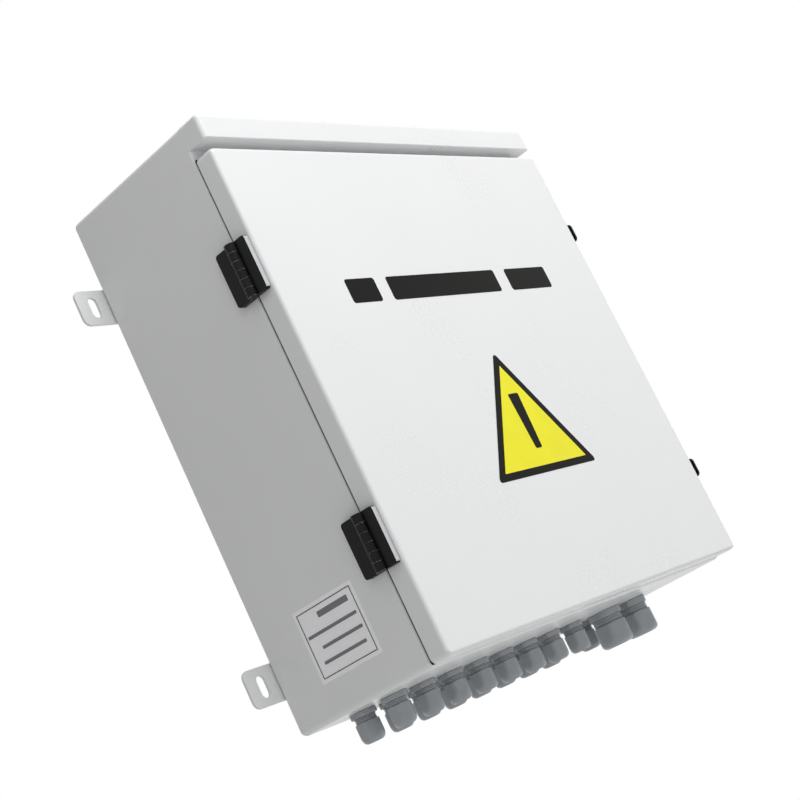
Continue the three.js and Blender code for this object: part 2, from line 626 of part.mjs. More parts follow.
const combinerBox = new THREE.Group();
combinerBox.add(enclosureBody(), rainHood(), doorAssembly());
for (const [row, z] of upperAndLower(EAR_SPREAD)) {
  combinerBox.add(mountingEar(`mounting_ear_${row}_left`, -1, z), mountingEar(`mounting_ear_${row}_right`, 1, z));
}
for (const [place, z] of hingePlaces()) combinerBox.add(hingeOnBody(place, z));
for (const [place, z] of latchPlaces()) combinerBox.add(latchOnBody(place, z));
for (const place of glandPlaces()) combinerBox.add(gland(place));
combinerBox.add(mountingPlate(), dinRail('din_rail_lower', LOWER_RAIL), dinRail('din_rail_upper', UPPER_RAIL));
combinerBox.add(fuseHolderBank());
for (let i = 0; i < STRINGS; i += 1) combinerBox.add(fuseCarrier(i));
combinerBox.add(breakerBody(), breakerToggle(), surgeProtector(), terminalBlock());
combinerBox.add(positiveBusbar(), negativeBusbar(), earthBar());

export default combinerBox;
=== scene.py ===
from math import atan2, cos, pi, radians, sin

import bmesh
import bpy
from mathutils import Matrix, Vector


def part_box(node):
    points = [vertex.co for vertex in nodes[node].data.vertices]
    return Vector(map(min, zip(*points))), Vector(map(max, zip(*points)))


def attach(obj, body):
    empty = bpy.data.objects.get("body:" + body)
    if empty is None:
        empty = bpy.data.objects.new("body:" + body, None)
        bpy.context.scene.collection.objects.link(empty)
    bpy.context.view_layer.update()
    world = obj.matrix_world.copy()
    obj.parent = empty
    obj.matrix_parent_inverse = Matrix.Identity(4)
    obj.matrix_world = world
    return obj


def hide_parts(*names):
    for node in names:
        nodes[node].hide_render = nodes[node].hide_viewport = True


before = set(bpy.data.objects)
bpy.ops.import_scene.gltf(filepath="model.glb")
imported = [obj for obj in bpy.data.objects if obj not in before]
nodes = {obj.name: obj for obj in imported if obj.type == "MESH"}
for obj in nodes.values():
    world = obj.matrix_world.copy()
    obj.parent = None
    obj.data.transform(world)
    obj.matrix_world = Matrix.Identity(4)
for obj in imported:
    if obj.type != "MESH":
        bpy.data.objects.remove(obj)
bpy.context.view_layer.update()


# ---- Camera ----
# It stands below and to the left of the box and looks up at it, so that the floor of the box, its left
# side and its door are seen. The box leans in the frame.
CAMERA_PLACE = (-1.2723, -0.9810, -0.3322)
CAMERA_TURN, CAMERA_CLIMB, CAMERA_LEAN = radians(-54.264), radians(12.335), radians(-25.81)
camera = bpy.data.objects.new("camera", bpy.data.cameras.new("camera"))
bpy.context.scene.collection.objects.link(camera)
camera.data.lens = 74.75
camera.data.sensor_width = 36
camera.data.clip_start = 0.01
facing = Matrix.Rotation(CAMERA_TURN, 4, "Z") @ Matrix.Rotation(pi / 2 + CAMERA_CLIMB, 4, "X")
camera.matrix_world = Matrix.Translation(CAMERA_PLACE) @ facing @ Matrix.Rotation(CAMERA_LEAN, 4, "Z")
bpy.context.scene.camera = camera
bpy.context.scene.view_settings.view_transform = "Standard"


# ---- Room ----
# A plain pale floor below the box, an even white room and three soft lamps. The floor turns into the
# white of the room less than a metre out, and keeps the shadow of the box near it.
class Wire:
    """A socket in a material, which can be reckoned with like a number."""

    def __init__(self, socket):
        self.socket = socket

    def node(self, kind, settings, sockets, output=0):
        tree = self.socket.id_data
        made = tree.nodes.new("ShaderNode" + kind)
        for name, value in settings.items():
            setattr(made, name, value)
        for name, value in sockets.items():
            if isinstance(value, Wire):
                tree.links.new(value.socket, made.inputs[name])
            else:
                made.inputs[name].default_value = value
        return Wire(made.outputs[output])

    def maths(self, operation, first, second):
        return self.node("Math", {"operation": operation}, {0: first, 1: second})

    def __add__(self, other):
        return self.maths("ADD", self, other)

    def __radd__(self, other):
        return self.maths("ADD", other, self)

    def __mul__(self, other):
        return self.maths("MULTIPLY", self, other)

    def __rmul__(self, other):
        return self.maths("MULTIPLY", other, self)

    def noise(self, scale, detail=3.0):
        return self.node("TexNoise", {}, {"Vector": self, "Scale": scale, "Detail": detail})

    def blend(self, first, second):
        return self.node("Mix", {"data_type": "RGBA"}, {0: self, 6: first, 7: second}, 2)


def seen_rays(tree):
    """1 for what the camera sees, also by way of a glossy or a clear surface, and 0 for the rest."""
    rays = tree.nodes.new("ShaderNodeLightPath")
    camera_rays, glossy_rays, clear_rays = (
        Wire(rays.outputs[f"Is {kind} Ray"]) for kind in ("Camera", "Glossy", "Transmission")
    )
    return camera_rays + glossy_rays + clear_rays


FLOOR_LEVEL, FLOOR_HALF = -0.58, 12
FADE_FROM, FADE_TO = 0.45, 0.85
ROOM_LIGHT, ROOM_WHITE = 0.26, 1.0
floor_mesh = bpy.data.meshes.new("floor")
floor_shape = bmesh.new()
bmesh.ops.create_grid(floor_shape, x_segments=1, y_segments=1, size=FLOOR_HALF)
bmesh.ops.translate(floor_shape, verts=floor_shape.verts, vec=(0, 0, FLOOR_LEVEL))
floor_shape.to_mesh(floor_mesh)
floor_shape.free()
floor = bpy.data.objects.new("floor", floor_mesh)
bpy.context.scene.collection.objects.link(floor)

floor_paint = bpy.data.materials.new("pale_floor")
floor_paint.use_nodes = True
floor_tree = floor_paint.node_tree
floor_shader = floor_tree.nodes["Principled BSDF"]
floor_shader.inputs["Base Color"].default_value = (0.86, 0.86, 0.86, 1)
floor_shader.inputs["Roughness"].default_value = 0.9
floor_shader.inputs["Specular IOR Level"].default_value = 0.1
floor_place = Wire(floor_tree.nodes.new("ShaderNodeTexCoord").outputs["Object"])
reach = floor_place.node("VectorMath", {"operation": "LENGTH"}, {0: floor_place}, 1)
fade = {"Value": reach, "From Min": FADE_FROM, "From Max": FADE_TO}
outside = reach.node("MapRange", {"interpolation_type": "SMOOTHSTEP"}, fade)
white = floor_tree.nodes.new("ShaderNodeEmission")
white.inputs["Color"].default_value = (1, 1, 1, 1)
white.inputs["Strength"].default_value = ROOM_WHITE
floor_mix = floor_tree.nodes.new("ShaderNodeMixShader")
floor_tree.links.new((seen_rays(floor_tree) * outside).socket, floor_mix.inputs[0])
floor_tree.links.new(floor_shader.outputs[0], floor_mix.inputs[1])
floor_tree.links.new(white.outputs[0], floor_mix.inputs[2])
floor_tree.links.new(floor_mix.outputs[0], floor_tree.nodes["Material Output"].inputs[0])
floor_mesh.materials.append(floor_paint)

room = bpy.data.worlds.new("room")
room.use_nodes = True
room_tree = room.node_tree
bpy.context.scene.world = room
room_light = room_tree.nodes["Background"]
room_light.inputs[0].default_value = (1, 1, 1, 1)
room_light.inputs[1].default_value = ROOM_LIGHT
room_white = room_tree.nodes.new("ShaderNodeBackground")
room_white.inputs[0].default_value = (1, 1, 1, 1)
room_white.inputs[1].default_value = ROOM_WHITE
room_mix = room_tree.nodes.new("ShaderNodeMixShader")
room_tree.links.new(seen_rays(room_tree).socket, room_mix.inputs[0])
room_tree.links.new(room_light.outputs[0], room_mix.inputs[1])
room_tree.links.new(room_white.outputs[0], room_mix.inputs[2])
room_tree.links.new(room_mix.outputs[0], room_tree.nodes["World Output"].inputs[0])


def soft_lamp(name, place, aim, size, watts):
    light = bpy.data.lights.new(name, "AREA")
    light.shape = "SQUARE"
    light.size = size
    light.energy = watts
    lamp = bpy.data.objects.new(name, light)
    bpy.context.scene.collection.objects.link(lamp)
    lamp.location = place
    lamp.rotation_euler = (Vector(aim) - Vector(place)).to_track_quat("-Z", "Y").to_euler()


soft_lamp("front_lamp", (0.2, -1.8, 1.9), (0, 0, 0), 1.4, 57)
soft_lamp("near_lamp", (-0.66, -0.56, 0.50), (-0.25, -0.15, 0.1), 0.35, 0.65)
soft_lamp("side_lamp", (-2.6, -0.6, 0.9), (0, 0, 0), 1.8, 3)


# ---- Enclosure body ----
# A box folded from 1.5 mm sheet steel and welded at its corners, with the rim turned in round the
# doorway and a raised edge for the seal. It is finished in light grey powder coat.
def new_finish(name, colour, roughness, metallic=0.0):
    """A material, its shader and its Object coordinates."""
    material = bpy.data.materials.new(name)
    material.use_nodes = True
    shader = material.node_tree.nodes["Principled BSDF"]
    shader.inputs["Base Color"].default_value = (*colour, 1)
    shader.inputs["Roughness"].default_value = roughness
    shader.inputs["Metallic"].default_value = metallic
    place = Wire(material.node_tree.nodes.new("ShaderNodeTexCoord").outputs["Object"])
    return material, shader, place


def set_socket(shader, name, wire):
    shader.id_data.links.new(wire.socket, shader.inputs[name])


def raise_surface(shader, height, distance, strength=1.0):
    """Feeds a height, in which 1 stands for distance in metres, to the shader's normal."""
    bump = height.node("Bump", {}, {"Height": height, "Distance": distance, "Strength": strength})
    set_socket(shader, "Normal", bump)


powder_coat, coat_shader, coat_place = new_finish("powder_coat", (0.79, 0.795, 0.80), 0.4)
coat_peel = coat_place.noise(720, 2.0)
coat_wave = coat_place.noise(9, 2.0)
coat_grain = coat_place.noise(2600, 1.0)
set_socket(coat_shader, "Base Color", coat_wave.blend((0.775, 0.78, 0.785, 1), (0.805, 0.81, 0.815, 1)))
set_socket(coat_shader, "Roughness", 0.22 + coat_wave * 0.09 + coat_peel * 0.05)
raise_surface(coat_shader, coat_peel + coat_grain * 0.25, 0.00006, 0.5)


def show_piece(name, shape, body, material, stands_for=(), sharp=50):
    """Turns a bmesh into a finished piece that rides on a body and stands for CAD nodes."""
    mesh = bpy.data.meshes.new(name)
    shape.to_mesh(mesh)
    shape.free()
    for finish in material if isinstance(material, (list, tuple)) else [material]:
        mesh.materials.append(finish)
    mesh.shade_smooth()
    mesh.set_sharp_from_angle(angle=radians(sharp))
    made = bpy.data.objects.new(name, mesh)
    bpy.context.scene.collection.objects.link(made)
    weighted = made.modifiers.new("even_shading", "WEIGHTED_NORMAL")
    weighted.keep_sharp = True
    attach(made, body)
    if stands_for:
        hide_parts(*stands_for)
    return made


def joined_copy(node):
    """A bmesh of a CAD node with its loose triangles joined."""
    shape = bmesh.new()
    shape.from_mesh(nodes[node].data)
    bmesh.ops.remove_doubles(shape, verts=shape.verts, dist=2e-6)
    for face in shape.faces:
        face.material_index = 0
    return shape


def make_faces_whole(shape):
    bmesh.ops.dissolve_limit(shape, angle_limit=radians(0.4), verts=shape.verts, edges=shape.edges)


def merged_copy(node):
    """A bmesh of a CAD node with its triangles joined and its flat faces made whole."""
    shape = joined_copy(node)
    make_faces_whole(shape)
    return shape


def round_edges(shape, width, segments=2, sharper_than=52, where=None):
    """Rounds the edges that are sharper than an angle, as a folded or moulded edge is."""
    inner = [e for e in shape.edges if len(e.link_faces) == 2]
    folds = [e for e in inner if e.calc_face_angle(0) > radians(sharper_than)]
    edges = [e for e in folds if where is None or where(e)]
    bmesh.ops.bevel(
        shape, geom=edges, offset=width, offset_type="OFFSET", segments=segments, profile=0.5,
        affect="EDGES", clamp_overlap=True, material=-1,
    )


body_shape = merged_copy("enclosure_body")
round_edges(body_shape, 0.0004)
show_piece("body_shell", body_shape, "enclosure", powder_coat, ["enclosure_body"])


# ---- Rain hood ----
# A channel folded from sheet, with closed ends, welded across the front of the roof flush with the
# sides, so that rain runs off ahead of the door. Its folds are rounded and the welds ground smooth.
HOOD_SHEET, HOOD_FOLD, HOOD_HEM = 0.0015, 0.0045, 0.0009
RIM_FOLD = 0.0035
hood_low, hood_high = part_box("rain_hood")
body_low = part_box("enclosure_body")[0]
hood_far = (hood_high.x, hood_high.y + RIM_FOLD, hood_high.z)
hood_size = [far - near for near, far in zip(hood_low, hood_far)]
hood_middle = Vector([(near + far) / 2 for near, far in zip(hood_low, hood_far)])
hood_frame = Matrix.Translation(hood_middle) @ Matrix.Diagonal((*hood_size, 1))
hood_shape = bmesh.new()
bmesh.ops.create_cube(hood_shape, size=1, matrix=hood_frame)
open_back = [f for f in hood_shape.faces if f.normal.y > 0.9]
bmesh.ops.delete(hood_shape, geom=open_back, context="FACES_ONLY")
round_edges(hood_shape, HOOD_FOLD, 6, 60, lambda e: any(v.co.z > hood_middle.z for v in e.verts))
round_edges(hood_shape, HOOD_HEM, 3, 60)
bmesh.ops.recalc_face_normals(hood_shape, faces=hood_shape.faces)
bmesh.ops.solidify(hood_shape, geom=hood_shape.faces[:], thickness=HOOD_SHEET)
bmesh.ops.recalc_face_normals(hood_shape, faces=hood_shape.faces)
show_piece("hood_shell", hood_shape, "enclosure", powder_coat, ["rain_hood"])


# ---- Mounting ears ----
# Four flat steel tabs with an upright slot each, welded behind the back panel and powder coated
# with the box. Their cut edges are a little rounded by the coat.
for ear in ("upper_left", "upper_right", "lower_left", "lower_right"):
    ear_shape = merged_copy("mounting_ear_" + ear)
    round_edges(ear_shape, 0.0005)
    show_piece("ear_" + ear, ear_shape, "enclosure", powder_coat, ["mounting_ear_" + ear])


# ---- Door ----
# A shallow pan folded from the same sheet, with round front corners. It is powder coated with the
# body. A foamed sealing strip runs round its inside, and a thin dark strip in the slit at its edge is painted
# shade for the slit.
door_shape = merged_copy("door")
round_edges(door_shape, 0.0004)
show_piece("door_shell", door_shape, "door", powder_coat, ["door"])

foam, foam_shader, foam_place = new_finish("seal_foam", (0.022, 0.022, 0.025), 0.9)
foam_cells = foam_place.node("TexVoronoi", {}, {"Vector": foam_place, "Scale": 900.0})
foam_shade = foam_place.noise(60)
set_socket(foam_shader, "Base Color", foam_shade.blend((0.016, 0.016, 0.018, 1), (0.034, 0.034, 0.038, 1)))
raise_surface(foam_shader, foam_cells, 0.0003, 0.8)
seal_shape = merged_copy("door_gasket")
round_edges(seal_shape, 0.0012, 3)
show_piece("door_seal", seal_shape, "door", foam, ["door_gasket"])


def round_corners(shape, width, segments):
    """Rounds the corners of a flat outline."""
    bmesh.ops.bevel(
        shape, geom=shape.verts[:], offset=width, offset_type="OFFSET", segments=segments, profile=0.5,
        affect="VERTICES", clamp_overlap=True, material=-1,
    )


def extruded_verts(extruded):
    return [g for g in extruded["geom"] if isinstance(g, bmesh.types.BMVert)]


def push_faces(shape, faces, move):
    """Extrudes faces by a move, which leaves walls behind them."""
    extruded = bmesh.ops.extrude_face_region(shape, geom=faces)
    bmesh.ops.translate(shape, verts=extruded_verts(extruded), vec=move)


door_low, door_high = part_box("door")
# A thin dark strip in the slit round the door: painted shade that stands in for the shade in the slit.
SHADE_STRIP_INSET, SHADE_STRIP_WIDTH, SHADE_STRIP_DEPTH, SHADE_STRIP_OFF, SHADE_STRIP_CORNER = 0.0003, 0.006, 0.0008, 0.0002, 0.002
shade_strip_left, shade_strip_right = door_low.x + SHADE_STRIP_INSET, door_high.x - SHADE_STRIP_INSET
shade_strip_foot, shade_strip_top = door_low.z + SHADE_STRIP_INSET, door_high.z - SHADE_STRIP_INSET
shade_strip_shape = bmesh.new()
shade_strip_shape.faces.new([
    shade_strip_shape.verts.new((x, door_high.y + SHADE_STRIP_OFF, z))
    for x, z in ((shade_strip_left, shade_strip_foot), (shade_strip_right, shade_strip_foot), (shade_strip_right, shade_strip_top), (shade_strip_left, shade_strip_top))
])
round_corners(shade_strip_shape, SHADE_STRIP_CORNER, 4)
bmesh.ops.inset_region(
    shade_strip_shape, faces=shade_strip_shape.faces[:], thickness=SHADE_STRIP_WIDTH, use_even_offset=True, use_boundary=True,
)
many_sided = [f for f in shade_strip_shape.faces if len(f.verts) > 4]
shade_strip_inside = min(many_sided, key=lambda f: f.calc_center_median().xz.length)
bmesh.ops.delete(shade_strip_shape, geom=[shade_strip_inside], context="FACES")
push_faces(shade_strip_shape, shade_strip_shape.faces[:], (0, SHADE_STRIP_DEPTH, 0))
bmesh.ops.recalc_face_normals(shade_strip_shape, faces=shade_strip_shape.faces)
show_piece("door_seam_painted_shade", shade_strip_shape, "door", foam)


# ---- Door sign and word bars ----
# Thin printed films on the door: a plain yellow triangle with a dark border and one plain dark mark,
# and three plain dark bars, one for each word of a title. No letters are drawn.
door_front = door_low.y
FILM = 0.0002


def film(points, corner, y_front, thickness, corner_segments=6):
    """A thin flat film in x and z with round corners, whose front lies at y_front."""
    shape = bmesh.new()
    shape.faces.new([shape.verts.new((x, y_front, z)) for x, z in points])
    if corner:
        round_corners(shape, corner, corner_segments)
    push_faces(shape, shape.faces[:], (0, thickness, 0))
    bmesh.ops.recalc_face_normals(shape, faces=shape.faces)
    return shape


def printed_film(name, colour, roughness=0.35, specular=0.5, laminate=0.0):
    material, shader, place = new_finish(name, colour, roughness)
    shader.inputs["Specular IOR Level"].default_value = specular
    shader.inputs["Coat Weight"].default_value = laminate
    shader.inputs["Coat Roughness"].default_value = 0.12
    shade = place.noise(40)
    fibre = place.noise(1500, 1.0)
    darker = tuple(c * 0.94 for c in colour) + (1,)
    lighter = tuple(min(1.0, c * 1.04) for c in colour) + (1,)
    set_socket(shader, "Base Color", shade.blend(darker, lighter))
    set_socket(shader, "Roughness", roughness - 0.05 + shade * 0.1)
    raise_surface(shader, fibre, 0.00002, 0.4)
    return material


yellow_film = printed_film("yellow_film", (0.86, 0.80, 0.012), specular=0.3)
dark_film = printed_film("dark_film", (0.004, 0.0035, 0.003), specular=0.08)


def door_film(name, points, corner, layer, finish):
    """A film on the front of the door, over the layers that lie under it."""
    show_piece(name, film(points, corner, door_front - layer * FILM, FILM), "door", finish)


sign_top = (0.0017, -0.0058)
sign_right = (0.0778, -0.1230)
sign_left = (-0.0795, -0.1230)
sign_middle = Vector([sum(axis) / 3 for axis in zip(sign_top, sign_right, sign_left)])
BORDER_SHARE, BORDER_CORNER = 1.05, 0.0055
FIELD_SHARE, FIELD_CORNER = 0.87, 0.0008


def sign_outline(share):
    """The corners of the sign, drawn in towards its middle, or out from it where share is over 1."""
    corners = [Vector(corner) for corner in (sign_left, sign_right, sign_top)]
    moved = [sign_middle + (corner - sign_middle) * share for corner in corners]
    return [(corner.x, corner.y) for corner in moved]


door_film("sign_border", sign_outline(BORDER_SHARE), BORDER_CORNER, 1, dark_film)
door_film("sign_field", sign_outline(FIELD_SHARE), FIELD_CORNER, 2, yellow_film)
MARK_FOOT, MARK_TOP = -0.101, -0.045
MARK_FOOT_HALF, MARK_TOP_HALF, MARK_CORNER = 0.0050, 0.0082, 0.002
mark = [
    (-MARK_FOOT_HALF, MARK_FOOT), (MARK_FOOT_HALF, MARK_FOOT),
    (MARK_TOP_HALF, MARK_TOP), (-MARK_TOP_HALF, MARK_TOP),
]
door_film("sign_mark", mark, MARK_CORNER, 3, dark_film)

BAR_FOOT, BAR_TOP, BAR_CORNER = 0.0605, 0.0840, 0.003
bar_ends = {"first": (-0.161, -0.120), "second": (-0.103, 0.068), "third": (0.087, 0.159)}
for word, (bar_left, bar_right) in bar_ends.items():
    bar = [(bar_left, BAR_FOOT), (bar_right, BAR_FOOT), (bar_right, BAR_TOP), (bar_left, BAR_TOP)]
    door_film("word_bar_" + word, bar, BAR_CORNER, 1, dark_film)


# ---- Rating label ----
# A paper label under a clear laminate on the left side of the box, with a thin dark frame. Its lines
# of print are left as plain grey strokes, the first one heavier.
paper = printed_film("label_paper", (0.94, 0.94, 0.955), 0.5, laminate=1.0)
ink = printed_film("label_ink", (0.05, 0.05, 0.055), 0.5)
faint_ink = printed_film("label_faint_ink", (0.17, 0.17, 0.18), 0.5)
LABEL_FRONT, LABEL_BACK = -0.1228, -0.0502
LABEL_FOOT, LABEL_TOP = -0.2200, -0.1560
LABEL_MARGIN, RULE, LABEL_CORNER, STROKE_CORNER = 0.0035, 0.0008, 0.0012, 0.0006
side_x = body_low.x


def side_film(name, y0, y1, z0, z1, lift, material, corner=0.0):
    """A film on the left side of the box, between two depths and two heights."""
    shape = film([(y0, z0), (y1, z0), (y1, z1), (y0, z1)], corner, 0, FILM, 3)
    for vert in shape.verts:
        vert.co = Vector((side_x - lift + vert.co.y, vert.co.x, vert.co.z))
    bmesh.ops.recalc_face_normals(shape, faces=shape.faces)
    if shape.calc_volume(signed=True) < 0:
        bmesh.ops.reverse_faces(shape, faces=shape.faces)
    show_piece(name, shape, "enclosure", material)


side_film("label_sheet", LABEL_FRONT, LABEL_BACK, LABEL_FOOT, LABEL_TOP, FILM, paper, LABEL_CORNER)
frame_front, frame_back = LABEL_FRONT + LABEL_MARGIN, LABEL_BACK - LABEL_MARGIN
frame_foot, frame_top = LABEL_FOOT + LABEL_MARGIN, LABEL_TOP - LABEL_MARGIN
for edge, y0, y1, z0, z1 in (
    ("top", frame_front, frame_back, frame_top - RULE, frame_top),
    ("foot", frame_front, frame_back, frame_foot, frame_foot + RULE),
    ("front", frame_front, frame_front + RULE, frame_foot + RULE, frame_top - RULE),
    ("back", frame_back - RULE, frame_back, frame_foot + RULE, frame_top - RULE),
):
    side_film("label_rule_" + edge, y0, y1, z0, z1, 2 * FILM, ink)

# Each stroke: its rise over the frame's foot, its height, and where it begins and ends along the frame.
strokes = [
    (0.0465, 0.0052, 0.10, 0.66),
    (0.0340, 0.0028, 0.06, 0.96),
    (0.0220, 0.0028, 0.06, 0.80),
    (0.0100, 0.0028, 0.10, 0.88),
]
span = frame_back - frame_front
for number, (rise, tall, begin, end) in enumerate(strokes, 1):
    y0, y1, z = frame_front + span * begin, frame_front + span * end, frame_foot + rise
    side_film(f"label_line_{number}", y0, y1, z, z + tall, 2 * FILM, faint_ink, STROKE_CORNER)


# ---- Hinges ----
# Two black cast hinges with six knuckles each, whose rims carry painted highlights in a light grey metal. One
# leaf is screwed to the side of the body and the other to the door. A plated pin runs through them, its ends
# coated over.
black_coat, black_shader, black_place = new_finish("black_coat", (0.005, 0.005, 0.0055), 0.38)
black_shader.inputs["Specular IOR Level"].default_value = 0.14
black_cast = black_place.noise(1100, 2.0)
black_wave = black_place.noise(45)
set_socket(black_shader, "Base Color", black_wave.blend((0.003, 0.003, 0.0035, 1), (0.008, 0.008, 0.0088, 1)))
set_socket(black_shader, "Roughness", 0.26 + black_wave * 0.14)
raise_surface(black_shader, black_cast, 0.00006, 0.6)

# A light grey metal that paints highlights on the knuckle rims and a reflection on the front face of the door
# leaf.
painted_highlight_grey, highlight_shader, highlight_place = new_finish("painted_highlight_grey", (0.56, 0.57, 0.58), 0.35, 0.6)
highlight_streak = highlight_place.noise(160)
set_socket(highlight_shader, "Base Color", highlight_streak.blend((0.50, 0.51, 0.52, 1), (0.62, 0.63, 0.64, 1)))
raise_surface(highlight_shader, highlight_streak, 0.00004, 0.5)

plated, plated_shader, plated_place = new_finish("plated_steel", (0.62, 0.63, 0.65), 0.32, 1.0)
plated_grain = plated_place.node("Mapping", {}, {"Vector": plated_place, "Scale": (14.0, 14.0, 900.0)})
plated_streak = plated_grain.noise(1.0, 4.0)
plated_cloud = plated_place.noise(14)
set_socket(plated_shader, "Base Color", plated_cloud.blend((0.56, 0.57, 0.59, 1), (0.68, 0.69, 0.70, 1)))
set_socket(plated_shader, "Roughness", 0.24 + plated_streak * 0.2)
raise_surface(plated_shader, plated_streak, 0.00003, 0.4)

BARREL_REACH, LEAF_FRONT = 0.0060, 0.0012
RIM_FLATTEST, RIM_STEEPEST = 0.25, 0.97
for place in ("upper", "lower"):
    pin_low, pin_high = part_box(f"hinge_pin_{place}")
    hinge_line = (pin_low + pin_high) / 2
    for side, body in (("body", "enclosure"), ("door", "door")):
        node = f"hinge_{side}_leaf_{place}"
        leaf_shape = merged_copy(node)
        leaf_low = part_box(node)[0]
        round_edges(leaf_shape, 0.0004, 2, 44)
        for face in leaf_shape.faces:
            middle = face.calc_center_median()
            on_barrel = (middle - hinge_line).xy.length < BARREL_REACH
            # Knuckle rims get the painted highlight.
            painted_rim_highlight = on_barrel and RIM_FLATTEST < abs(face.normal.z) < RIM_STEEPEST
            # The front face of the door leaf gets the same light grey as a painted reflection.
            painted_front_reflection = side == "door" and face.normal.y < -0.8 and middle.y < leaf_low.y + LEAF_FRONT
            if painted_rim_highlight or painted_front_reflection:
                face.material_index = 1
        finishes = [black_coat, painted_highlight_grey]
        show_piece(f"hinge_leaf_{side}_{place}", leaf_shape, body, finishes, [node])
    node = f"hinge_pin_{place}"
    pin_shape = merged_copy(node)
    round_edges(pin_shape, 0.0005, 2)
    for face in pin_shape.faces:
        face.material_index = 1 if abs(face.normal.z) > 0.1 else 0
    show_piece(f"pin_{place}", pin_shape, "enclosure", [plated, black_coat], [node])


# ---- Draw latches ----
# Two black draw latches on the right side: a screwed base with two cheeks, a lever on a pin, a wire
# bail that hooks over a lip, and the lip's keeper on the side of the door.
for place in ("upper", "lower"):
    for part, body, rounding, segments in (
        ("base", "enclosure", 0.0004, 2), ("lever", "lever_" + place, 0.0004, 2),
        ("bail", "bail_" + place, 0.0009, 3), ("keeper", "door", 0.0004, 2),
    ):
        node = f"latch_{part}_{place}"
        latch_shape = merged_copy(node)
        round_edges(latch_shape, rounding, segments)
        show_piece(f"latch_{part}_piece_{place}", latch_shape, body, black_coat, [node])


# ---- Cable glands ----
# Nylon glands in two sizes. Each has a flanged body whose thread passes the floor of the box, a
# six-sided cap nut that ends in a dome, a rubber sleeve inside it, and a six-sided locknut indoors.
nylon, nylon_shader, nylon_place = new_finish("grey_nylon", (0.33, 0.352, 0.368), 0.44)
nylon_cloud = nylon_place.noise(120)
nylon_skin = nylon_place.noise(1500, 2.0)
set_socket(nylon_shader, "Base Color", nylon_cloud.blend((0.310, 0.332, 0.348, 1), (0.350, 0.372, 0.388, 1)))
set_socket(nylon_shader, "Roughness", 0.26 + nylon_cloud * 0.12)
raise_surface(nylon_shader, nylon_skin, 0.00004, 0.5)

sleeve, sleeve_shader, sleeve_place = new_finish("rubber_sleeve", (0.02, 0.02, 0.021), 0.75)
sleeve_dust = sleeve_place.noise(400)
set_socket(sleeve_shader, "Base Color", sleeve_dust.blend((0.014, 0.014, 0.015, 1), (0.04, 0.04, 0.04, 1)))
raise_surface(sleeve_shader, sleeve_dust, 0.00008, 0.6)

AROUND = 48
SKIN, SLEEVE = 0, 1
GLAND_GAP, NUT_OFF, CORNER_CUT = 0.0003, 0.0018, 0.0004
DOME_STEPS, DOME_POWER, THREAD_TURNS = 6, 0.9, 3


def hex_radius(angle, across_flats):
    """Distance from the axis to a six-sided outline whose corners are a little cut back."""
    within = (angle + pi / 6) % (pi / 3) - pi / 6
    return min(across_flats / 2 / cos(within), across_flats / 2 / cos(pi / 6) - CORNER_CUT)


def gland_rings(size, foot, top):
    """Rings up the outside of a gland and down its bore: height, radius, width across flats, finish.

    A ring with no width across flats is round. The small steps ease the edges as moulding does.
    """
    cap, tip, bore, neck, thread = (size[part] for part in ("cap", "tip", "bore", "neck", "thread"))
    flange, nut = size["flange"], size["nut"]
    flat, flange_flat, nut_flat = size["flat"], size["flange_flat"], size["nut_flat"]
    cap_top = foot + size["cap_h"]
    flange_foot = cap_top + size["neck_h"]
    flange_top = body_low.z - GLAND_GAP
    nut_foot = body_low.z + NUT_OFF
    rings = [
        (foot + 0.0010, bore + 0.0012, None, SKIN),
        (foot + 0.0002, bore + 0.0018, None, SKIN),
        (foot, tip - 0.0006, None, SKIN),
        (foot + 0.0004, tip, None, SKIN),
    ]
    drop = cap_top - size["shoulder"] - foot
    for step in range(1, DOME_STEPS + 1):
        turn = step / DOME_STEPS * pi / 2
        height = foot + 0.0004 + (drop - 0.0004) * (1 - cos(turn)) ** DOME_POWER
        rings.append((height, tip + (cap - tip) * sin(turn), flat, SKIN))
    rings += [
        (cap_top - 0.0008, cap, flat, SKIN),
        (cap_top - 0.0002, cap - 0.0005, flat, SKIN),
        (cap_top, cap - 0.0011, flat, SKIN),
        (cap_top, neck - 0.0004, None, SKIN),
    ]
    pitch = (flange_foot - cap_top) / THREAD_TURNS
    for turn in range(THREAD_TURNS):
        for share, proud in ((0.30, -0.0004), (0.50, 0.0003), (0.70, 0.0003), (0.90, -0.0004)):
            rings.append((cap_top + pitch * turn + pitch * share, neck + proud, None, SKIN))
    rings += [
        (flange_foot, flange - 0.0012, flange_flat, SKIN),
        (flange_foot + 0.0003, flange - 0.0005, flange_flat, SKIN),
        (flange_foot + 0.0009, flange, flange_flat, SKIN),
        (flange_top - 0.0004, flange, flange_flat, SKIN),
        (flange_top, flange - 0.0004, flange_flat, SKIN),
        (flange_top, thread, None, SKIN),
        (nut_foot, thread, None, SKIN),
        (nut_foot, nut - 0.0005, nut_flat, SKIN),
        (nut_foot + 0.0005, nut, nut_flat, SKIN),
        (top - 0.0006, nut, nut_flat, SKIN),
        (top, nut - 0.0006, nut_flat, SKIN),
        (top, bore + 0.0010, None, SKIN),
        (top - 0.0010, bore + 0.0002, None, SKIN),
        (foot + 0.0090, bore + 0.0002, None, SLEEVE),
        (foot + 0.0050, bore + 0.0002, None, SLEEVE),
        (foot + 0.0030, bore + 0.0010, None, SLEEVE),
    ]
    return rings


